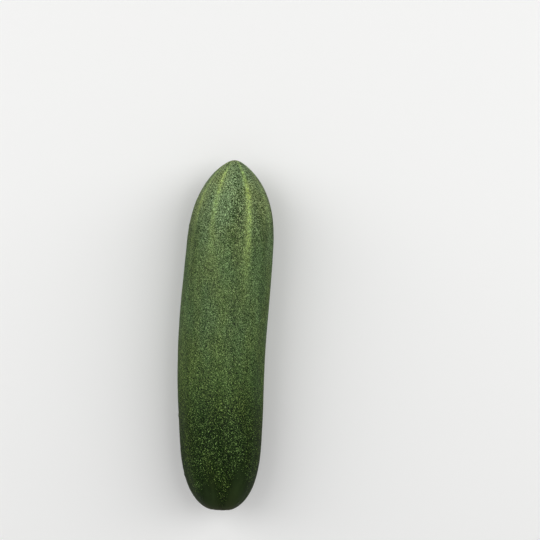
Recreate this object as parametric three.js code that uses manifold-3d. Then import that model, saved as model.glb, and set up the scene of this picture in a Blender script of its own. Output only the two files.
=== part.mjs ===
// A slicing cucumber, as picked, lying on the side that its weight has pressed a little flat.
//
// Frame, in millimetres: +Y runs along the fruit from its stem end to its blossom end, +X is across it,
// +Z is up, and the origin is the middle of its footprint on the surface it lies on.
//
// The fruit grew as one piece, so it is one solid: a turned body, given faint lobes and a sideways bow,
// with a dimple at the stem end and a small sunk scar at the blossom end. The broken end of its stem sits
// in the dimple.

import * as THREE from "three";
import { mergeVertices } from "three/addons/utils/BufferGeometryUtils.js";
import Module from "manifold-3d";

// Body
const LENGTH = 211.2; // between the tips that the ends would have without their hollows
const RADIUS = 26.3; // at the fullest place
const FULLEST = 91; // distance of the fullest place from the blossom tip
const TAPER = 0.55; // how fast the body thins away from there
const BLOSSOM_CAP = 56; // length over which the blossom end closes
const BLOSSOM_POWER = 0.67; // more is more pointed
const STEM_CAP = 45.5;
const STEM_POWER = 0.45;
const CAP_SHOULDER = 3; // more keeps a cap full for longer before it closes
const LOBE = 0.035; // share of the radius by which three lengthwise lobes stand proud
const BOW = [-2.5, 0.6, 0.5]; // sideways sway of the axis in one, two and three half waves
const BELLY = 1; // depth that the underside is pressed flat

// Ends
const DIMPLE = { radius: 8, rise: -3 }; // the hollow round the stem
const SCAR = { radius: 4, rise: -0.4 }; // where the flower fell off

// Stem
const STEM_RADIUS = 3.1; // of the broken end
const STEM_FLARE = 0.8; // how much wider it is at its foot
const STEM_RECESS = 0.8; // how far the broken end lies inside the end of the fruit
const STEM_RIDGE = 0.06; // share of the radius by which its five ridges stand proud
const STEM_RIDGES = 5;
const STEM_GAP = 0.3; // between its foot and the floor of the dimple
const STEM_EDGE = 0.4; // rounding of the broken end

// Fineness of the meshes
const AROUND = 48;
const BODY_STEPS = 22;
const CAP_STEPS = 16;
const CAP_CROWDING = 1.3; // above 1 draws the rings together towards the tip
const STEM_AROUND = 30;
const FOOT_STEPS = 3;

const AXIS_HEIGHT = RADIUS * (1 - LOBE) - BELLY;
const wasm = await Module();
wasm.setup();

const skin = new THREE.MeshStandardMaterial({ color: "#3f5c2a", roughness: 0.45, metalness: 0 });
const corkyStem = new THREE.MeshStandardMaterial({ color: "#8c8a5e", roughness: 0.85, metalness: 0 });

// How closed an end cap is at a distance from its tip: 0 at the tip, 1 where the cap ends.
function capOpening(distance, cap, power) {
  const inside = THREE.MathUtils.clamp(1 - distance / cap, 0, 1);
  return (1 - inside ** CAP_SHOULDER) ** power;
}

function bodyRadius(fromTip) {
  const thinning = 1 - TAPER * ((fromTip - FULLEST) / LENGTH) ** 2;
  const blossom = capOpening(fromTip, BLOSSOM_CAP, BLOSSOM_POWER);
  const stem = capOpening(LENGTH - fromTip, STEM_CAP, STEM_POWER);
  return RADIUS * thinning * blossom * stem;
}

// Height of a smooth round hollow or bump at a radius from its middle.
function bump(radius, feature) {
  const inside = Math.max(0, 1 - (radius / feature.radius) ** 2);
  return feature.rise * inside * inside;
}

// Distances from a tip to the rings of its cap, closer together near the tip.
function capRings(cap) {
  return Array.from({ length: CAP_STEPS + 1 }, (_, i) => {
    const angle = (Math.PI / 2) * (i / CAP_STEPS) ** CAP_CROWDING;
    return cap * (1 - Math.cos(angle));
  });
}

// The body's outline as (radius, y), from the middle of the dimple to the middle of the scar.
function bodyOutline() {
  const barrel = LENGTH - STEM_CAP - BLOSSOM_CAP;
  const stemEnd = capRings(STEM_CAP).map((distance) => LENGTH - distance);
  const middle = Array.from({ length: BODY_STEPS - 1 }, (_, i) => {
    return BLOSSOM_CAP + barrel * (1 - (i + 1) / BODY_STEPS);
  });
  const blossomEnd = capRings(BLOSSOM_CAP).reverse();
  return [...stemEnd, ...middle, ...blossomEnd].map((fromTip) => {
    const radius = bodyRadius(fromTip);
    const y = LENGTH / 2 - fromTip;
    const feature = y < 0 ? -bump(radius, DIMPLE) : bump(radius, SCAR);
    return new THREE.Vector2(radius, y + feature);
  });
}

// Sideways place of the axis, 0 at both ends.
function bowAt(y) {
  const share = THREE.MathUtils.clamp(0.5 - y / LENGTH, 0, 1);
  return BOW.reduce((sum, sway, i) => sum + sway * Math.sin((i + 1) * Math.PI * share), 0);
}

function reshape(geometry, move) {
  const position = geometry.getAttribute("position");
  const point = new THREE.Vector3();
  for (let i = 0; i < position.count; i++) {
    point.fromBufferAttribute(position, i);
    move(point);
    position.setXYZ(i, point.x, point.y, point.z);
  }
  return geometry;
}

function solidOf(geometry) {
  geometry.deleteAttribute("normal");
  geometry.deleteAttribute("uv");
  const merged = mergeVertices(geometry, 1e-3);
  const vertProperties = merged.getAttribute("position").array;
  const triVerts = new Uint32Array(merged.index.array);
  return new wasm.Manifold(new wasm.Mesh({ numProp: 3, vertProperties, triVerts }));
}

function geometryOf(solid) {
  const { vertProperties, triVerts } = solid.getMesh();
  const geometry = new THREE.BufferGeometry();
  geometry.setAttribute("position", new THREE.BufferAttribute(vertProperties, 3));
  geometry.setIndex(new THREE.BufferAttribute(triVerts, 1));
  geometry.computeVertexNormals();
  return geometry;
}

function makeFruit() {
  const turned = new THREE.LatheGeometry(bodyOutline(), AROUND);
  const grown = reshape(turned, (point) => {
    const angle = Math.atan2(point.z, point.x);
    const swell = 1 + LOBE * Math.cos(3 * (angle - Math.PI / 2));
    point.x = point.x * swell + bowAt(point.y);
    point.z = point.z * swell + AXIS_HEIGHT;
  });
  const surface = new THREE.BoxGeometry(4 * RADIUS, 2 * LENGTH, RADIUS);
  surface.translate(0, 0, -RADIUS / 2);
  const rested = solidOf(grown).subtract(solidOf(surface));
  return new THREE.Mesh(geometryOf(rested), skin);
}

// The stem's outline as (radius, y): its broken end, its side, and its foot along the dimple's floor.
function stemOutline() {
  const end = STEM_RECESS - LENGTH / 2;
  const footRadius = STEM_RADIUS + STEM_FLARE;
  const foot = Array.from({ length: FOOT_STEPS + 1 }, (_, i) => {
    const radius = footRadius * (1 - i / FOOT_STEPS);
    return new THREE.Vector2(radius, -LENGTH / 2 - bump(radius, DIMPLE) - STEM_GAP);
  });
  return [
    new THREE.Vector2(0, end),
    new THREE.Vector2(STEM_RADIUS - STEM_EDGE, end),
    new THREE.Vector2(STEM_RADIUS, end + STEM_EDGE),
    ...foot,
  ];
}

function makeStem() {
  const geometry = reshape(new THREE.LatheGeometry(stemOutline(), STEM_AROUND), (point) => {
    const swell = 1 + STEM_RIDGE * Math.cos(STEM_RIDGES * Math.atan2(point.z, point.x));
    point.x *= swell;
    point.z = point.z * swell + AXIS_HEIGHT;
  });
  return new THREE.Mesh(geometry, corkyStem);
}

const fruit = makeFruit();
fruit.name = "cucumber_fruit";
const stem = makeStem();
stem.name = "stem_stub";

const group = new THREE.Group();
group.add(fruit, stem);
const middle = new THREE.Box3().setFromObject(group).getCenter(new THREE.Vector3());
group.position.set(-middle.x, -middle.y, 0);

export default group;
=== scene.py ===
"""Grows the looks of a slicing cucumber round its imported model, laid out as an add-on."""

import math
import random

import bmesh
import bpy
from bpy.props import FloatProperty, FloatVectorProperty, IntProperty, PointerProperty
from mathutils import Matrix, Vector, kdtree, noise


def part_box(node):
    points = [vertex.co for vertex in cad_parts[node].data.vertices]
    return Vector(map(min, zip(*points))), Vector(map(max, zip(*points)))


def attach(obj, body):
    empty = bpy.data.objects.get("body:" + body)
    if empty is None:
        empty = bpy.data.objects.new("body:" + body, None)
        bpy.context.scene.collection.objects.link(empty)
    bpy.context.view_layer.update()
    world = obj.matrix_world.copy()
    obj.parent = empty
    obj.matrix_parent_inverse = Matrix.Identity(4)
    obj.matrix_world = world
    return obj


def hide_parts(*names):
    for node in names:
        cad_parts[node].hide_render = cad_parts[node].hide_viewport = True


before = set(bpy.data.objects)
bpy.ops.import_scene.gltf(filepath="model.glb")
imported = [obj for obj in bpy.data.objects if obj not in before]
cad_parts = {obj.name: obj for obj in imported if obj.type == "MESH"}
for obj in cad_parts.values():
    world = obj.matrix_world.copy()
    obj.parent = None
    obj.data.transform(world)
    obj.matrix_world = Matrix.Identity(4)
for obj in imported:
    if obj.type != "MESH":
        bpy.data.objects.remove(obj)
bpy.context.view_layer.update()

bl_info = {
    "name": "Slicing Cucumber",
    "version": (1, 0, 0),
    "blender": (4, 5, 0),
    "location": "3D View > Sidebar > Cucumber",
    "description": "Grows a slicing cucumber with its stem stub, and sets its stage",
    "category": "Add Mesh",
}

MM = 0.001
FRUIT_LOW, FRUIT_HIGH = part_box("cucumber_fruit")
STEM_LOW, STEM_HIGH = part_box("stem_stub")

# The hollows at the two ends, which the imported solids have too
SCAR_DEPTH = 0.4 * MM
SCAR_RADIUS = 4 * MM
DIMPLE_DEPTH = 3 * MM
DIMPLE_RADIUS = 8 * MM
STEM_RECESS = 0.8 * MM  # how far the broken stem lies inside the end of the fruit
BELLY = 1 * MM  # depth that the underside is pressed flat

TIP_Y = FRUIT_HIGH.y + SCAR_DEPTH
STEM_Y = STEM_LOW.y - STEM_RECESS
LENGTH = TIP_Y - STEM_Y
RADIUS = (FRUIT_HIGH.z + BELLY) / 2
LOBE = 0.035  # share of the radius by which three lengthwise lobes stand proud
AXIS_Z = RADIUS * (1 - LOBE) - BELLY
ENDS_X = (STEM_LOW.x + STEM_HIGH.x) / 2  # the axis passes here at both ends


def linear(code):
    """A colour written as #rrggbb, as the linear values that shaders take."""
    shades = [int(code[i : i + 2], 16) / 255 for i in (1, 3, 5)]
    return tuple(((s + 0.055) / 1.055) ** 2.4 if s > 0.04045 else s / 12.92 for s in shades)


def distance(name, description, default, **limits):
    """A length in the scene's units that a user can change."""
    return FloatProperty(
        name=name, description=description, default=default, subtype="DISTANCE", unit="LENGTH", **limits
    )


def colour(name, description, default):
    """A colour that a user can change."""
    return FloatVectorProperty(
        name=name, description=description, default=linear(default), size=3, subtype="COLOR", min=0, max=1
    )


class CucumberFruitSettings(bpy.types.PropertyGroup):
    """Shape and skin of the fruit"""

    fullest: distance("Fullest", "Distance of the fullest place from the blossom tip", 91 * MM)
    taper: FloatProperty(name="Taper", description="How fast the body thins from there", default=0.55)
    blossom_cap: distance("Blossom Cap", "Length over which the blossom end closes", 56 * MM)
    blossom_power: FloatProperty(name="Blossom Power", description="More is more pointed", default=0.72)
    stem_cap: distance("Stem Cap", "Length over which the stem end closes", 45.5 * MM)
    stem_power: FloatProperty(name="Stem Power", description="More is more pointed", default=0.45)
    shoulder: FloatProperty(name="Shoulder", description="More keeps the ends full for longer", default=3)
    bow: FloatVectorProperty(
        name="Bow",
        description="Sideways sway of the axis in one, two and three half waves",
        default=(-2.5 * MM, 0.6 * MM, 0.5 * MM),
        subtype="TRANSLATION",
        unit="LENGTH",
    )
    rib_height: distance("Rib Height", "How far the faint lengthwise ribs stand proud", 0.16 * MM)
    ribs: IntProperty(name="Ribs", description="Number of faint lengthwise ribs", default=8, min=0)
    lump_height: distance("Lump Height", "How uneven the body is", 0.25 * MM)
    warts: IntProperty(name="Warts", description="Number of low warts", default=46, min=0)
    wart_height: distance("Wart Height", "How far a wart stands proud", 0.3 * MM)
    wart_radius: distance("Wart Radius", "Radius of a wart at its foot", 1.7 * MM)
    seed: IntProperty(name="Seed", description="Picks where warts and lumps lie", default=7)
    rings: IntProperty(name="Rings", description="Steps along the outline", default=380, min=40)
    around: IntProperty(name="Around", description="Steps round the fruit", default=240, min=24)
    bare_green: colour("Bare Green", "Colour of the smooth skin round the stem", "#2b391a")
    stem_green: colour("Stem Green", "Ground colour at the stem end", "#0f2002")
    # Partly the body's own green and partly painted sheen: kept greyer and less saturated to stand in for a
    # grey veil of reflected light on the body
    body_green_and_sheen: colour("Body Green", "Ground colour of the body", "#2f4220")
    blossom_green: colour("Blossom Green", "Ground colour at the blossom end", "#192e0a")
    stem_fleck: colour("Stem Fleck", "Colour of the flecks at the stem end", "#86a35b")
    body_fleck: colour("Body Fleck", "Colour of the flecks on the body", "#879f69")
    blossom_fleck: colour("Blossom Fleck", "Colour of the flecks at the blossom end", "#afc48f")
    streak: colour("Streak", "Colour of the pale streaks at the blossom end", "#b4ce72")
    cool_tint: colour("Cool Tint", "Tint of the bluer patches of skin", "#f2fbfa")
    warm_tint: colour("Warm Tint", "Tint of the yellower patches of skin", "#fffcea")
    cork: colour("Cork", "Colour of the dry scars at the two ends", "#8d8560")


class CucumberStemSettings(bpy.types.PropertyGroup):
    """Shape and colour of the broken stem"""

    radius: distance("Radius", "Radius of the broken end", 3.1 * MM)
    flare: distance("Flare", "How much wider the foot is", 0.8 * MM)
    gap: distance("Gap", "Gap between the foot and the floor of the dimple", 0.3 * MM)
    ridges: IntProperty(name="Ridges", description="Number of ridges down its side", default=5, min=0)
    ridge: FloatProperty(name="Ridge", description="Share of the radius the ridges stand out", default=0.06)
    torn: distance("Torn", "How rough the broken end is", 0.35 * MM)
    bark: colour("Bark", "Colour of the stem's side", "#6f7446")
    pith: colour("Pith", "Colour of the broken end", "#b9b088")
    bundle: colour("Bundle", "Colour of the sap vessels in the broken end", "#5d5a35")


class CucumberStageSettings(bpy.types.PropertyGroup):
    """Floor, lights and camera"""

    camera_height: distance("Camera Height", "Height of the camera over the fruit's outline", 1.2)
    view_width: distance("View Width", "Width that the picture spans there", 0.324)
    aside: distance("Aside", "How far right of the fruit's middle the picture's middle is", 25.5 * MM)
    ahead: distance("Ahead", "How far beyond the fruit's middle the picture's middle is", 39 * MM)
    roll: FloatProperty(
        name="Roll",
        description="How far the blossom end leans to the right",
        default=math.radians(2.45),
        subtype="ANGLE",
        unit="ROTATION",
    )
    floor: colour("Floor", "Colour of the floor", "#fafaf9")
    floor_glow: colour("Floor Glow", "How the floor lights what stands on it", "#949492")
    sky: FloatProperty(name="Sky", description="Strength of the light from all round", default=0.38)
    right: FloatProperty(name="Right", description="Power of the right lamp", default=8.6, unit="POWER")
    left: FloatProperty(name="Left", description="Power of the left lamp", default=8.8, unit="POWER")


# Shape of the body ------------------------------------------------------------------------------

OUTLINE_FINER = 12  # times more points than are kept, to space them evenly
SEAM = 0.002 * MM  # points closer than this are one


def cap_opening(distance_in, cap, power, shoulder):
    """How open an end cap is at a distance from its tip: 0 at the tip, 1 where the cap ends."""
    inside = min(max(1 - distance_in / cap, 0), 1)
    return max(1 - inside**shoulder, 0) ** power


def body_radius(shape, from_tip):
    """Radius of the body at a distance from the blossom tip."""
    thinning = 1 - shape.taper * ((from_tip - shape.fullest) / LENGTH) ** 2
    blossom = cap_opening(from_tip, shape.blossom_cap, shape.blossom_power, shape.shoulder)
    stem = cap_opening(LENGTH - from_tip, shape.stem_cap, shape.stem_power, shape.shoulder)
    return RADIUS * thinning * blossom * stem


def hollow(radius, widest, depth):
    """Depth of a smooth round hollow at a radius from its middle."""
    return depth * max(0, 1 - (radius / widest) ** 2) ** 2


def outline_point(shape, share):
    """(radius, y) on the outline, from the middle of the dimple to the middle of the scar."""
    eased = share - math.sin(2 * math.pi * share) / (2 * math.pi)
    from_tip = LENGTH * (1 - eased)
    radius = body_radius(shape, from_tip)
    y = TIP_Y - from_tip
    if share < 0.5:
        return radius, y + hollow(radius, DIMPLE_RADIUS, DIMPLE_DEPTH)
    return radius, y - hollow(radius, SCAR_RADIUS, SCAR_DEPTH)


def even_outline(shape, steps):
    """Points evenly spaced along the outline."""
    finer = OUTLINE_FINER * steps
    fine = [Vector(outline_point(shape, i / finer)) for i in range(finer + 1)]
    lengths = [0.0]
    for before, after in zip(fine, fine[1:]):
        lengths.append(lengths[-1] + (after - before).length)
    points, at = [], 0
    for i in range(steps + 1):
        wanted = lengths[-1] * i / steps
        while at < len(fine) - 2 and lengths[at + 1] < wanted:
            at += 1
        part = (wanted - lengths[at]) / (lengths[at + 1] - lengths[at])
        points.append(fine[at].lerp(fine[at + 1], part))
    return points


def bow_at(shape, y):
    """Sideways place of the axis: ENDS_X at both ends."""
    share = min(max((TIP_Y - y) / LENGTH, 0), 1)
    sway = sum(width * math.sin((i + 1) * math.pi * share) for i, width in enumerate(shape.bow))
    return ENDS_X + sway


def turn_outline(bm, points, steps):
    """Turns an outline of (radius, y) points round the Y axis into a closed skin."""
    first = bm.verts.new((0, 0, 0))
    last = bm.verts.new((0, 1, 0))
    line = bm.edges.new((first, last))
    bmesh.ops.subdivide_edges(bm, edges=[line], cuts=len(points) - 2)
    for vert, (radius, y) in zip(sorted(bm.verts, key=lambda v: v.co.y), points):
        vert.co = (radius, y, 0)
    bmesh.ops.spin(
        bm,
        geom=bm.verts[:] + bm.edges[:],
        cent=(0, 0, 0),
        axis=(0, 1, 0),
        angle=2 * math.pi,
        steps=steps,
        use_merge=True,
    )
    bmesh.ops.remove_doubles(bm, verts=bm.verts, dist=SEAM)
    bmesh.ops.recalc_face_normals(bm, faces=bm.faces)


def mesh_object(name, bm):
    """A smooth-shaded object at the origin that holds the finished mesh."""
    mesh = bpy.data.meshes.new(name)
    bm.to_mesh(mesh)
    bm.free()
    mesh.shade_smooth()
    piece = bpy.data.objects.new(name, mesh)
    bpy.context.scene.collection.objects.link(piece)
    return piece


# Marks on the skin ------------------------------------------------------------------------------

# The pale streaks of the blossom end: degrees from the top towards +X, strength, share where gone
STREAKS = (
    (25, 1.0, 0.58),
    (68, 0.5, 0.72),
    (113, 0.75, 0.68),
    (157, 0.5, 0.78),
    (201, 0.85, 0.64),
    (248, 0.5, 0.75),
    (297, 0.7, 0.7),
    (335, 0.7, 0.62),
)
STREAK_WIDTH = 5  # degrees from its middle to where a streak has faded to a third
STREAK_WAVER = 2.5  # degrees by which a streak wanders to either side
STREAK_FULL = 0.94  # share of the length, from the stem, past which the streaks are full
STREAK_TIP = 0.985  # and past which they fade again, to half
BARE_END = 0.14  # share of the length, from the stem, that is smooth between the fingers
BARE_RAGGED = 0.025  # how ragged its edge is, as a share of the length
BARE_FADE = (-0.07, 0.06)  # from where to where round its edge the flecks come in
# Where speckled fingers reach down into it: degrees from the top, width, how far they reach
FINGERS = (
    (6, 17, 0.13),
    (62, 24, 0.075),
    (112, 14, 0.11),
    (150, 12, 0.06),
    (188, 16, 0.1),
    (226, 12, 0.07),
    (262, 18, 0.085),
    (312, 28, 0.12),
    (338, 15, 0.065),
)
SCAR_CORK = (0.9 * MM, 2.3 * MM)  # radii between which the scar's cork ends
STEM_CORK = (3.6 * MM, 5.2 * MM)
PALE_RIM = (6 * MM, 14 * MM)  # radii between which the faint, paler and browner rim round the stem fades out
PALE_RIM_STRENGTH = 0.14
CORK_RAGGED = 0.35  # share of the radius by which the edges of both wander


def degrees_between(a, b):
    return abs((a - b + 180) % 360 - 180)


def smooth_step(low, high, value):
    share = min(max((value - low) / (high - low), 0), 1)
    return share * share * (3 - 2 * share)


def streak_mark(angle, share):
    """Strength of the pale streaks: full at the blossom end, gone by the middle."""
    turn = math.radians(angle)
    waver = STREAK_WAVER * noise.noise(Vector((math.cos(turn), math.sin(turn), 9 * share)))
    mark = 0
    for place, strength, gone in STREAKS:
        across = degrees_between(angle + waver, place) / STREAK_WIDTH
        along = smooth_step(gone, STREAK_FULL, share)
        mark = max(mark, strength * along * math.exp(-(across**2)))
    return mark * (1 - 0.5 * smooth_step(STREAK_TIP, 1.0, share))


def bare_mark(angle, share):
    """How bare of flecks the skin is: smooth at the stem end between the speckled fingers."""
    finger = 0
    for place, width, reach in FINGERS:
        across = degrees_between(angle, place) / width
        finger = max(finger, reach * math.exp(-(across**2)))
    ragged = BARE_RAGGED * noise.noise(Vector((angle / 7, 40 * share, 0)))
    edge = BARE_END - finger + ragged
    return 1 - smooth_step(*BARE_FADE, share - edge)


def cork_mark(angle, radius, share):
    """Dry, corky skin in the blossom scar and round the foot of the stem, with a faint rim of cork colour
    and roughness round the stem.
    """
    turn = math.radians(angle)
    ragged = 1 + CORK_RAGGED * noise.noise(Vector((2.5 * math.cos(turn), 2.5 * math.sin(turn), share)))
    if share > 0.5:
        return 1 - smooth_step(*SCAR_CORK, radius * ragged)
    # A faint tint of cork colour and roughness round the stem, fading out between the rim's radii
    rim = PALE_RIM_STRENGTH * (1 - smooth_step(*PALE_RIM, radius * ragged))
    return max(rim, 1 - smooth_step(*STEM_CORK, radius))


# The fruit --------------------------------------------------------------------------------------

FIRST_GROOVE = 24  # degrees from the top; the streaks run near the grooves between the ribs
RIBS_RISE = (2 * MM, 14 * MM)  # radii between which ribs and lumps rise from nothing to full
BROAD_LUMPS = (1.6, 7)  # waves round the fruit and along it
CLOSE_LUMPS = (4.5, 20)
CLOSE_SHARE = 0.3  # height of the close lumps as a share of the broad ones'
SCAR_FOLDS = 9  # puckers round the blossom scar
SCAR_FOLD_HEIGHT = 0.1 * MM
SCAR_FOLD_RING = ((0.3 * MM, 1.6 * MM), (2 * MM, 5 * MM))  # radii where they rise, and where they fall
STEM_FOLDS = 10  # puckers round the stem, with finer and lower ones between them
FINE_FOLDS = 23
FINE_SHARE = 0.4
STEM_FOLD_HEIGHT = 0.28 * MM
STEM_FOLD_RING = ((1 * MM, 4 * MM), (4.5 * MM, 8 * MM))
FLOOR_EDGE = 0.25 * MM  # softness of the edge where the belly is pressed flat
WART_SIZES = (0.6, 1.15)  # smallest and largest, as shares of the sizes set


def lumps(angle, share, round_it, along_it, seed):
    """Height of soft lumps, from about -1 to 1."""
    around = Vector((math.sin(angle), math.cos(angle), 0))
    return noise.noise(round_it * around + Vector((0, 0, along_it * share + seed)))


def swollen(shape, angle, radius, share):
    """The radius with its lobes, ribs and lumps."""
    lobed = radius * (1 + LOBE * math.cos(3 * angle))
    full = smooth_step(*RIBS_RISE, radius)
    ribs = -shape.rib_height * math.cos(shape.ribs * (angle - math.radians(FIRST_GROOVE))) * full
    broad = lumps(angle, share, *BROAD_LUMPS, shape.seed)
    close = lumps(angle, share, *CLOSE_LUMPS, -shape.seed)
    return lobed + ribs + shape.lump_height * full * (broad + CLOSE_SHARE * close)


def on_ring(radius, rise, fall):
    """How full a ring of folds is at a radius."""
    return smooth_step(*rise, radius) * (1 - smooth_step(*fall, radius))


def end_folds(angle, radius, share):
    """Shift along Y of the puckered skin round the stem and the blossom scar."""
    if share > 0.5:
        folds = math.cos(SCAR_FOLDS * angle)
        return SCAR_FOLD_HEIGHT * on_ring(radius, *SCAR_FOLD_RING) * folds
    folds = math.cos(STEM_FOLDS * angle) + FINE_SHARE * math.cos(FINE_FOLDS * angle)
    return STEM_FOLD_HEIGHT * on_ring(radius, *STEM_FOLD_RING) * folds


def soft_floor(z):
    """Presses what would lie below the surface flat, with a soft edge."""
    return (z + math.sqrt(z * z + FLOOR_EDGE**2)) / 2


def grow_body(bm, shape):
    """Shapes the turned skin into the fruit, and notes on each vertex what the skin shows there."""
    marks = {name: bm.verts.layers.float.new(name) for name in ("streak", "bare", "cork", "wart")}
    way = bm.verts.layers.float_vector.new("skin_way")
    for vert in bm.verts:
        radius = math.hypot(vert.co.x, vert.co.z)
        angle = math.atan2(vert.co.x, vert.co.z)  # from the top, towards +X
        share = (vert.co.y - STEM_Y) / LENGTH
        degrees = math.degrees(angle)
        vert[way] = (math.sin(angle), math.cos(angle), share)
        vert[marks["streak"]] = streak_mark(degrees, share)
        vert[marks["bare"]] = bare_mark(degrees, share)
        vert[marks["cork"]] = cork_mark(degrees, radius, share)
        grown = swollen(shape, angle, radius, share)
        y = vert.co.y + end_folds(angle, radius, share)
        x = bow_at(shape, y) + grown * math.sin(angle)
        vert.co = (x, y, AXIS_Z + grown * math.cos(angle))
    return marks


def raise_warts(bm, shape, wart_mark):
    """Scatters low warts over the skin, each with a pale tip."""
    bm.normal_update()
    bm.verts.ensure_lookup_table()
    tree = kdtree.KDTree(len(bm.verts))
    for vert in bm.verts:
        tree.insert(vert.co, vert.index)
    tree.balance()
    chance = random.Random(shape.seed)
    raised = 0
    while raised < shape.warts:
        centre = chance.choice(bm.verts)
        from_tip = TIP_Y - centre.co.y
        if chance.random() > body_radius(shape, from_tip) / RADIUS:
            continue
        size = chance.uniform(*WART_SIZES)
        for _, index, away in tree.find_range(centre.co.copy(), size * shape.wart_radius):
            inside = 1 - (away / (size * shape.wart_radius)) ** 2
            bm.verts[index].co += centre.normal * (shape.wart_height * size * inside**2)
            bm.verts[index][wart_mark] = max(bm.verts[index][wart_mark], inside**8)
        raised += 1


# The stem ---------------------------------------------------------------------------------------

STEM_AROUND = 90  # steps round the stem
STEM_EDGE = 0.5 * MM  # rounding of the broken end
FACE_STEPS = 14  # steps that the broken end would take to its full radius
FACE_RINGS = 12  # those that lie inside its rounded edge
EDGE_STEPS = 6
SIDE_STEPS = 10
FOOT_STEPS = 8
TORN_RIM = (0.2 * MM, 0.7 * MM)  # depths between which the torn end passes into the side
VESSEL_RING = 0.6  # share of the radius at which the sap vessels lie
VESSEL_WIDTH = 0.13
PITH_RIM = (0.8, 1.05)  # shares of the radius between which the pale pith ends
TORN_SCALE = 900  # waves a metre


def foot_height(stem, radius):
    """Where along Y the underside of the stem is at a radius: a gap off the floor of the dimple."""
    return STEM_Y + hollow(radius, DIMPLE_RADIUS, DIMPLE_DEPTH) - stem.gap


def stem_outline(stem):
    """(radius, y) from the middle of the broken end, down the side, to the middle of the foot."""
    end = STEM_LOW.y
    points = [Vector((stem.radius * i / FACE_STEPS, end)) for i in range(FACE_RINGS)]
    for i in range(EDGE_STEPS + 1):
        turn = math.pi / 2 * i / EDGE_STEPS
        radius = stem.radius - STEM_EDGE * (1 - math.sin(turn))
        points.append(Vector((radius, end + STEM_EDGE * (1 - math.cos(turn)))))
    foot_radius = stem.radius + stem.flare
    top_y = end + STEM_EDGE
    foot_y = foot_height(stem, foot_radius)
    for i in range(1, SIDE_STEPS + 1):
        radius = stem.radius + stem.flare * (i / SIDE_STEPS) ** 2
        points.append(Vector((radius, top_y + (foot_y - top_y) * i / SIDE_STEPS)))
    for i in range(1, FOOT_STEPS + 1):
        radius = foot_radius * (1 - i / FOOT_STEPS)
        points.append(Vector((radius, foot_height(stem, radius))))
    return points


def tear_stem(bm, stem):
    """Gives the turned stem its ridges and its torn end."""
    pith = bm.verts.layers.float.new("pith")
    bundle = bm.verts.layers.float.new("bundle")
    for vert in bm.verts:
        angle = math.atan2(vert.co.x, vert.co.z)
        radius = math.hypot(vert.co.x, vert.co.z)
        depth = vert.co.y - STEM_LOW.y
        at_end = 1 - smooth_step(*TORN_RIM, depth)
        ragged = noise.noise(Vector((TORN_SCALE * vert.co.x, TORN_SCALE * vert.co.z, 0.5)))
        swell = 1 + stem.ridge * math.cos(stem.ridges * angle)
        x = ENDS_X + vert.co.x * swell
        z = AXIS_Z + vert.co.z * swell
        y = vert.co.y + at_end * stem.torn * (0.55 + 0.9 * ragged)
        vert.co = (x, y, z)
        vert[pith] = at_end * (1 - smooth_step(*PITH_RIM, radius / stem.radius))
        ring = math.exp(-(((radius / stem.radius - VESSEL_RING) / VESSEL_WIDTH) ** 2))
        vert[bundle] = at_end * ring * max(0, math.cos(stem.ridges * angle)) ** 2


# Materials --------------------------------------------------------------------------------------

# The skin's patterns, in waves or cells a metre
MOTTLE_SCALE = 130
PATCH_SCALE = 75
PORE_SCALE = 2400
STEM_PATCH_SCALE = 700
STEM_PORE_SCALE = 3500
FLECK_SCALE = 2100
WORM_SCALES = (3000, 2400)  # on the body, and coarser at the blossom end
TEAR_SCALE = 900
STRAY_SCALE = 4200
STRAY = 0.6 * MM  # how far a fleck's edge strays
LONG_FLECKS = (1, 0.75, 1)  # what lies along the fruit is drawn out
LONG_MOTTLE = (1, 0.35, 1)
LONG_PATCHES = (1, 0.4, 1)
BAND_WAVES = (3.2, 3.2, 3)  # of the broad pale and dark bands, round the fruit and along it
# Where along the fruit, as shares of its length from the stem, the skin changes
FLECKS_RISE = (0.15, 0.6)
FLECKS_CROWD = (0.62, 0.92)
GROUND_RISE = (0.22, 0.42)
LIGHT_RISE = (0.26, 0.56)
BLOSSOM_RISE = (0.68, 0.96)
WORMS_RISE = (0.7, 0.9)
PATCHY_RISE = (0.2, 0.6)
# Shares of the skin that flecks cover, from the stem end to the body, and what is added to them
FLECKED = (0.22, 0.475)
CROWDED = 0.08  # at the blossom end
STREAKED = 0.25  # on a pale streak
BARED = 0.5  # taken away where the stem end is bare
MOTTLED = 0.03  # more or less in the patches
BANDED = 0.045  # more or less in the bands
CALM = 0.4  # share of those two at the stem end
BLUR = 0.03  # half the width of the step from flecks to none
DOT_EDGE = (0.46, 0.28)  # distances from the middle of a cell, in cells, over which a dot comes in
WORM_START = 0.713  # level of the noise from which worms show where nothing is covered
WORM_SLOPE = -0.34  # and how it falls with coverage
WORM_EDGE = 0.05
WORM_STRENGTH = 0.9
# Lightness, as a share of the colour set: from the darkest place to the lightest
GROUND_SPREAD = (0.05, 1.95)
FLECK_SPREAD = (0.1, 1.9)
SHADE_SPREAD = (0.94, 1.06)
STEM_SPREAD = (0.65, 1.2)
# How much of that spread shows
GROUND_UNEVEN = 0.9
BARE_UNEVEN = 0.15
FLECK_UNEVEN = 0.6
# How much of a mark's colour shows at its strongest
STREAK_IN_GROUND = 0.35
STREAK_IN_FLECKS = 0.8
WART_TIP = 0.5
BARE_WART_TIP = 0.12
CORK_COVER = 0.85
BUNDLE_COVER = 0.7
# Roughness, from the smoothest place to the roughest
SKIN_ROUGH = (0.34, 0.46)
CORK_ROUGH = 0.35  # added on cork
STEM_ROUGH = (0.75, 0.92)
MIDDLING = (0.3, 0.7)  # nearly all that a noise gives lies between these


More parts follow.
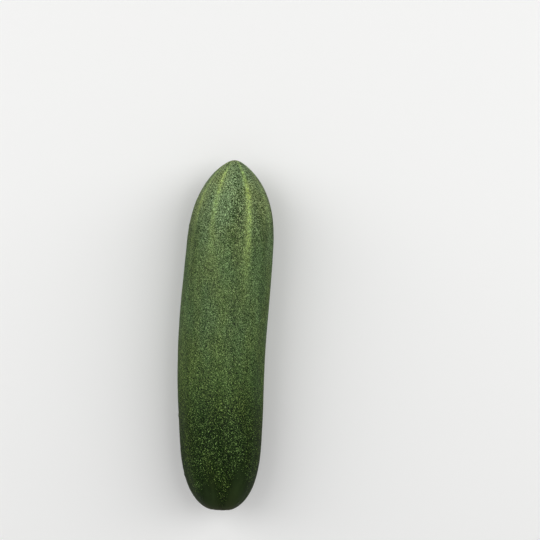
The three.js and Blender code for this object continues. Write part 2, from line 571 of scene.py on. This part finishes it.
class Wiring:
    """Adds nodes to a tree, with each input given as a value or as the socket that feeds it."""

    def __init__(self, tree):
        self.tree = tree

    def add(self, kind, inputs=None, **settings):
        node = self.tree.nodes.new(kind)
        for name, value in settings.items():
            setattr(node, name, value)
        for key, value in (inputs or {}).items():
            self.feed(node.inputs[key], value)
        return node

    def feed(self, socket, value):
        if isinstance(value, bpy.types.NodeSocket):
            self.tree.links.new(value, socket)
        elif socket.type == "RGBA":
            socket.default_value = (*value, 1)
        else:
            socket.default_value = value

    def math(self, operation, *values, clamp=False):
        inputs = dict(enumerate(values))
        return self.add("ShaderNodeMath", inputs, operation=operation, use_clamp=clamp).outputs[0]

    def vector(self, operation, *values):
        inputs = dict(enumerate(values))
        return self.add("ShaderNodeVectorMath", inputs, operation=operation).outputs[0]

    def between(self, value, low, high, new_low=0.0, new_high=1.0):
        """Maps low..high smoothly to new_low..new_high."""
        inputs = {"Value": value, 1: low, 2: high, 3: new_low, 4: new_high}
        settings = {"interpolation_type": "SMOOTHSTEP"}
        return self.add("ShaderNodeMapRange", inputs, **settings).outputs[0]

    def mix(self, share, first, second, blend="MIX"):
        inputs = {0: share, 6: first, 7: second}
        node = self.add("ShaderNodeMix", inputs, data_type="RGBA", blend_type=blend)
        return node.outputs[2]

    def blend(self, share, first, second):
        return self.add("ShaderNodeMix", {0: share, 2: first, 3: second}).outputs[0]

    def grey(self, value):
        return self.add("ShaderNodeCombineColor", {0: value, 1: value, 2: value}).outputs[0]

    def noise(self, vector, scale, detail=2.0, roughness=0.5):
        inputs = {"Vector": vector, "Scale": scale, "Detail": detail, "Roughness": roughness}
        return self.add("ShaderNodeTexNoise", inputs).outputs[0]

    def attribute(self, name):
        return self.add("ShaderNodeAttribute", attribute_name=name)


def new_material(name):
    """A material with an empty tree but for its Principled shader and output."""
    material = bpy.data.materials.new(name)
    material.use_nodes = True
    wiring = Wiring(material.node_tree)
    return material, wiring, material.node_tree.nodes["Principled BSDF"]


def grown_surface():
    """Node group: the uneven colour and fine pores that every grown surface here shows."""
    found = bpy.data.node_groups.get("Grown Surface")
    if found:
        return found
    group = bpy.data.node_groups.new("Grown Surface", "ShaderNodeTree")
    sockets = (
        ("Vector", "INPUT", "NodeSocketVector"),
        ("Patch Scale", "INPUT", "NodeSocketFloat"),
        ("Pore Scale", "INPUT", "NodeSocketFloat"),
        ("Mottle", "OUTPUT", "NodeSocketFloat"),
        ("Pores", "OUTPUT", "NodeSocketFloat"),
    )
    for name, side, kind in sockets:
        group.interface.new_socket(name=name, in_out=side, socket_type=kind)
    wiring = Wiring(group)
    entry = wiring.add("NodeGroupInput")
    mottle = wiring.noise(entry.outputs["Vector"], entry.outputs["Patch Scale"], 3.0, 0.55)
    pores = wiring.noise(entry.outputs["Vector"], entry.outputs["Pore Scale"], 2.0, 0.6)
    wiring.add("NodeGroupOutput", {"Mottle": mottle, "Pores": pores})
    return group


def fleck_masks(wiring, place, coverage, blossom):
    """Light flecks: single dots where they are few, joined into short worms where they are many."""
    drawn = wiring.vector("MULTIPLY", place, LONG_FLECKS)
    waves = wiring.add("ShaderNodeTexNoise", {"Vector": drawn, "Scale": STRAY_SCALE, "Detail": 1})
    stray = wiring.vector("SUBTRACT", waves.outputs["Color"], (0.5, 0.5, 0.5))
    drawn = wiring.vector("MULTIPLY_ADD", stray, (STRAY, STRAY, STRAY), drawn)
    cells = wiring.add("ShaderNodeTexVoronoi", {"Vector": drawn, "Scale": FLECK_SCALE}, feature="F1")
    draws = wiring.add("ShaderNodeSeparateColor", {0: cells.outputs["Color"]})
    most = wiring.math("ADD", coverage, BLUR)
    least = wiring.math("SUBTRACT", coverage, BLUR)
    lit = wiring.between(draws.outputs[0], most, least)
    dots = wiring.math("MULTIPLY", lit, wiring.between(cells.outputs["Distance"], *DOT_EDGE))
    worm_low = wiring.math("MULTIPLY_ADD", coverage, WORM_SLOPE, WORM_START)
    worm_high = wiring.math("ADD", worm_low, WORM_EDGE)
    fine, coarse = (wiring.noise(drawn, scale, 1.0, 0.6) for scale in WORM_SCALES)
    worms = wiring.between(wiring.blend(blossom, fine, coarse), worm_low, worm_high)
    flecks = wiring.math("MAXIMUM", dots, wiring.math("MULTIPLY", worms, WORM_STRENGTH))
    return flecks, draws.outputs[1], draws.outputs[2]


def along_fruit(wiring, share, rise, stem, body, blossom):
    """A colour that runs from the stem end over the body to the blossom end."""
    lower = wiring.mix(wiring.between(share, *rise), stem, body)
    return wiring.mix(wiring.between(share, *BLOSSOM_RISE), lower, blossom)


def fleck_coverage(wiring, share, way, mottle, streak, bare):
    """Share of the skin that flecks cover: least at the stem end, most at the blossom end."""
    coverage = wiring.between(share, *FLECKS_RISE, *FLECKED)
    coverage = wiring.math("ADD", coverage, wiring.between(share, *FLECKS_CROWD, 0.0, CROWDED))
    bands = wiring.noise(wiring.vector("MULTIPLY", way, BAND_WAVES), 1.0, 1.0, 0.5)
    patchy = wiring.between(mottle, *MIDDLING, -MOTTLED, MOTTLED)
    patchy = wiring.math("ADD", patchy, wiring.between(bands, *MIDDLING, -BANDED, BANDED))
    strength = wiring.between(share, *PATCHY_RISE, CALM, 1.0)
    coverage = wiring.math("MULTIPLY_ADD", patchy, strength, coverage)
    coverage = wiring.math("ADD", coverage, wiring.math("MULTIPLY", streak, STREAKED))
    return wiring.math("SUBTRACT", coverage, wiring.math("MULTIPLY", bare, BARED))


def ground_colour(wiring, shape, share, draw, streak, bare):
    """The dark skin between the flecks, with light and dark spots, and even where it is bare."""
    # The body's ground colour holds painted sheen as well as the skin's own green
    greens = (shape.stem_green, shape.body_green_and_sheen, shape.blossom_green)
    ground = along_fruit(wiring, share, GROUND_RISE, *greens)
    pits = wiring.grey(wiring.between(draw, 0.0, 1.0, *GROUND_SPREAD))
    uneven = wiring.blend(bare, GROUND_UNEVEN, BARE_UNEVEN)
    ground = wiring.mix(uneven, ground, pits, "MULTIPLY")
    ground = wiring.mix(bare, ground, shape.bare_green)
    return wiring.mix(wiring.math("MULTIPLY", streak, STREAK_IN_GROUND), ground, shape.streak)


def fleck_colour(wiring, shape, share, draw, streak):
    """The flecks, each a little lighter or darker than the next."""
    lights = (shape.stem_fleck, shape.body_fleck, shape.blossom_fleck)
    light = along_fruit(wiring, share, LIGHT_RISE, *lights)
    light = wiring.mix(wiring.math("MULTIPLY", streak, STREAK_IN_FLECKS), light, shape.streak)
    steps = wiring.grey(wiring.between(draw, 0.0, 1.0, *FLECK_SPREAD))
    return wiring.mix(FLECK_UNEVEN, light, steps, "MULTIPLY")


def skin_material(shape):
    """Waxy green skin with light flecks, pale streaks at one end and a smooth dark other end."""
    material, wiring, shader = new_material("cucumber_skin")
    place = wiring.add("ShaderNodeTexCoord").outputs["Object"]
    way = wiring.attribute("skin_way").outputs["Vector"]
    share = wiring.add("ShaderNodeSeparateXYZ", {0: way}).outputs[2]
    marks = ("streak", "bare", "cork", "wart")
    streak, bare, cork, wart = (wiring.attribute(name).outputs["Fac"] for name in marks)
    surface = wiring.add("ShaderNodeGroup", node_tree=grown_surface())
    wiring.feed(surface.inputs["Vector"], wiring.vector("MULTIPLY", place, LONG_MOTTLE))
    wiring.feed(surface.inputs["Patch Scale"], MOTTLE_SCALE)
    wiring.feed(surface.inputs["Pore Scale"], PORE_SCALE)
    mottle, pores = surface.outputs["Mottle"], surface.outputs["Pores"]

    coverage = fleck_coverage(wiring, share, way, mottle, streak, bare)
    at_blossom = wiring.between(share, *WORMS_RISE)
    flecks, light_draw, dark_draw = fleck_masks(wiring, place, coverage, at_blossom)
    torn = wiring.between(wiring.noise(place, TEAR_SCALE, 1.0, 0.6), 0.35, 0.6, 0.3, 1.1)
    streak = wiring.math("MULTIPLY", streak, torn, clamp=True)
    ground = ground_colour(wiring, shape, share, dark_draw, streak, bare)
    light = fleck_colour(wiring, shape, share, light_draw, streak)
    skin = wiring.mix(flecks, ground, light)

    patches = wiring.noise(wiring.vector("MULTIPLY", place, LONG_PATCHES), PATCH_SCALE, 2.0, 0.5)
    tint = wiring.mix(wiring.between(patches, 0.32, 0.68), shape.cool_tint, shape.warm_tint)
    skin = wiring.mix(1.0, skin, tint, "MULTIPLY")
    paler = wiring.blend(bare, WART_TIP, BARE_WART_TIP)
    tips = wiring.math("MULTIPLY", wiring.between(wart, 0.35, 0.9), paler)
    skin = wiring.mix(tips, skin, shape.blossom_fleck)
    shade = wiring.grey(wiring.between(mottle, *MIDDLING, *SHADE_SPREAD))
    skin = wiring.mix(1.0, skin, shade, "MULTIPLY")
    skin = wiring.mix(wiring.math("MULTIPLY", cork, CORK_COVER), skin, shape.cork)
    wiring.feed(shader.inputs["Base Color"], skin)

    rough = wiring.between(mottle, *MIDDLING, *SKIN_ROUGH)
    rough = wiring.math("ADD", rough, wiring.math("MULTIPLY", cork, CORK_ROUGH))
    wiring.feed(shader.inputs["Roughness"], rough)
    relief = wiring.math("ADD", wiring.math("MULTIPLY", flecks, 0.5), pores)
    bump = wiring.add("ShaderNodeBump", {"Strength": 0.35, "Distance": 0.06 * MM, "Height": relief})
    wiring.feed(shader.inputs["Normal"], bump.outputs[0])
    shader.inputs["Specular IOR Level"].default_value = 0.1
    return material


def stem_material(stem):
    """Dry, fibrous stem, green-brown at its side and pale where it broke."""
    material, wiring, shader = new_material("corky_stem")
    place = wiring.add("ShaderNodeTexCoord").outputs["Object"]
    pith = wiring.attribute("pith").outputs["Fac"]
    surface = wiring.add("ShaderNodeGroup", node_tree=grown_surface())
    wiring.feed(surface.inputs["Vector"], wiring.vector("MULTIPLY", place, LONG_PATCHES))
    wiring.feed(surface.inputs["Patch Scale"], STEM_PATCH_SCALE)
    wiring.feed(surface.inputs["Pore Scale"], STEM_PORE_SCALE)
    mottle, pores = surface.outputs["Mottle"], surface.outputs["Pores"]
    bundle = wiring.attribute("bundle").outputs["Fac"]
    colour_at = wiring.mix(pith, stem.bark, stem.pith)
    colour_at = wiring.mix(wiring.math("MULTIPLY", bundle, BUNDLE_COVER), colour_at, stem.bundle)
    shade = wiring.grey(wiring.between(mottle, *MIDDLING, *STEM_SPREAD))
    wiring.feed(shader.inputs["Base Color"], wiring.mix(1.0, colour_at, shade, "MULTIPLY"))
    wiring.feed(shader.inputs["Roughness"], wiring.between(mottle, *MIDDLING, *STEM_ROUGH))
    bump = wiring.add("ShaderNodeBump", {"Strength": 0.6, "Distance": 0.1 * MM, "Height": pores})
    wiring.feed(shader.inputs["Normal"], bump.outputs[0])
    shader.inputs["Specular IOR Level"].default_value = 0.25
    return material


def floor_material(stage):
    """Plain pale matt floor."""
    material, wiring, shader = new_material("pale_floor")
    seen = wiring.add("ShaderNodeLightPath").outputs["Is Camera Ray"]
    wiring.feed(shader.inputs["Base Color"], wiring.mix(seen, stage.floor_glow, stage.floor))
    shader.inputs["Roughness"].default_value = 0.9
    shader.inputs["Specular IOR Level"].default_value = 0.1
    return material


# The stage --------------------------------------------------------------------------------------

# The soft lamps: name, place and size in metres
LAMPS = (
    ("right_lamp", (0.85, 0.35, 0.85), (0.7, 1.8)),
    ("left_lamp", (-0.92, 0.35, 0.77), (0.8, 1.8)),
)
FLOOR_HALF = 2.5  # metres from the middle of the floor to its edge


def add_lamp(name, place, size, power):
    """A white rectangular area lamp that faces the middle of the floor."""
    data = bpy.data.lights.new(name, "AREA")
    data.shape = "RECTANGLE"
    data.size, data.size_y = size
    data.energy = power
    lamp = bpy.data.objects.new(name, data)
    lamp.location = place
    lamp.rotation_euler = (-Vector(place)).to_track_quat("-Z", "Y").to_euler()
    bpy.context.scene.collection.objects.link(lamp)


def add_camera(stage):
    """A camera that looks straight down, with the blossom end towards the top of the picture."""
    across = Vector((math.cos(stage.roll), math.sin(stage.roll), 0))
    up = Vector((-math.sin(stage.roll), math.cos(stage.roll), 0))
    middle = Vector((ENDS_X, (FRUIT_HIGH.y + STEM_LOW.y) / 2, AXIS_Z))
    data = bpy.data.cameras.new("camera")
    data.lens = data.sensor_width * stage.camera_height / stage.view_width
    camera = bpy.data.objects.new("camera", data)
    camera.rotation_euler = Matrix((across, up, (0, 0, 1))).transposed().to_euler()
    above = Vector((0, 0, stage.camera_height))
    camera.location = middle + stage.aside * across + stage.ahead * up + above
    bpy.context.scene.collection.objects.link(camera)
    bpy.context.scene.camera = camera


def add_floor(stage):
    """A wide pale floor under the fruit."""
    bm = bmesh.new()
    bmesh.ops.create_grid(bm, x_segments=1, y_segments=1, size=FLOOR_HALF)
    floor = mesh_object("floor", bm)
    floor.data.materials.append(floor_material(stage))


def add_sky(stage):
    """Even white light from all round."""
    world = bpy.data.worlds.new("studio")
    world.use_nodes = True
    background = world.node_tree.nodes["Background"]
    background.inputs["Color"].default_value = (1, 1, 1, 1)
    background.inputs["Strength"].default_value = stage.sky
    bpy.context.scene.world = world


# Operators --------------------------------------------------------------------------------------


class CUCUMBER_OT_grow_fruit(bpy.types.Operator):
    """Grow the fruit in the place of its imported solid"""

    bl_idname = "cucumber.grow_fruit"
    bl_label = "Grow Fruit"

    def execute(self, context):
        shape = context.scene.cucumber_fruit
        bm = bmesh.new()
        turn_outline(bm, even_outline(shape, shape.rings), shape.around)
        marks = grow_body(bm, shape)
        raise_warts(bm, shape, marks["wart"])
        for vert in bm.verts:
            vert.co.z = soft_floor(vert.co.z)
        piece = mesh_object("cucumber", bm)
        piece.data.materials.append(skin_material(shape))
        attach(piece, "root")
        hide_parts("cucumber_fruit")
        return {"FINISHED"}


class CUCUMBER_OT_grow_stem(bpy.types.Operator):
    """Grow the short, broken stem in the dimple"""

    bl_idname = "cucumber.grow_stem"
    bl_label = "Grow Stem"

    def execute(self, context):
        stem = context.scene.cucumber_stem
        bm = bmesh.new()
        turn_outline(bm, stem_outline(stem), STEM_AROUND)
        tear_stem(bm, stem)
        piece = mesh_object("stem", bm)
        piece.data.materials.append(stem_material(stem))
        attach(piece, "root")
        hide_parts("stem_stub")
        return {"FINISHED"}


class CUCUMBER_OT_set_stage(bpy.types.Operator):
    """Set out the floor, the soft lights and the camera"""

    bl_idname = "cucumber.set_stage"
    bl_label = "Set Stage"

    def execute(self, context):
        stage = context.scene.cucumber_stage
        add_floor(stage)
        add_sky(stage)
        for (name, place, size), power in zip(LAMPS, (stage.right, stage.left)):
            add_lamp(name, place, size, power)
        add_camera(stage)
        context.scene.view_settings.view_transform = "Standard"
        return {"FINISHED"}


class CUCUMBER_PT_panel(bpy.types.Panel):
    """Lists the steps that build the cucumber"""

    bl_label = "Slicing Cucumber"
    bl_space_type = "VIEW_3D"
    bl_region_type = "UI"
    bl_category = "Cucumber"

    def draw(self, context):
        for step, (group, kind) in zip(STEPS, SETTINGS.items()):
            box = self.layout.box()
            box.operator(step.bl_idname)
            for name in kind.__annotations__:
                box.prop(getattr(context.scene, group), name)


STEPS = (CUCUMBER_OT_grow_fruit, CUCUMBER_OT_grow_stem, CUCUMBER_OT_set_stage)
SETTINGS = {
    "cucumber_fruit": CucumberFruitSettings,
    "cucumber_stem": CucumberStemSettings,
    "cucumber_stage": CucumberStageSettings,
}


def register():
    for kind in (*SETTINGS.values(), *STEPS, CUCUMBER_PT_panel):
        bpy.utils.register_class(kind)
    for name, kind in SETTINGS.items():
        setattr(bpy.types.Scene, name, PointerProperty(type=kind))


def unregister():
    for name in SETTINGS:
        delattr(bpy.types.Scene, name)
    for kind in (CUCUMBER_PT_panel, *reversed(STEPS), *reversed(SETTINGS.values())):
        bpy.utils.unregister_class(kind)


def main():
    register()
    bpy.ops.cucumber.grow_fruit()
    bpy.ops.cucumber.grow_stem()
    bpy.ops.cucumber.set_stage()


if __name__ == "__main__":
    main()
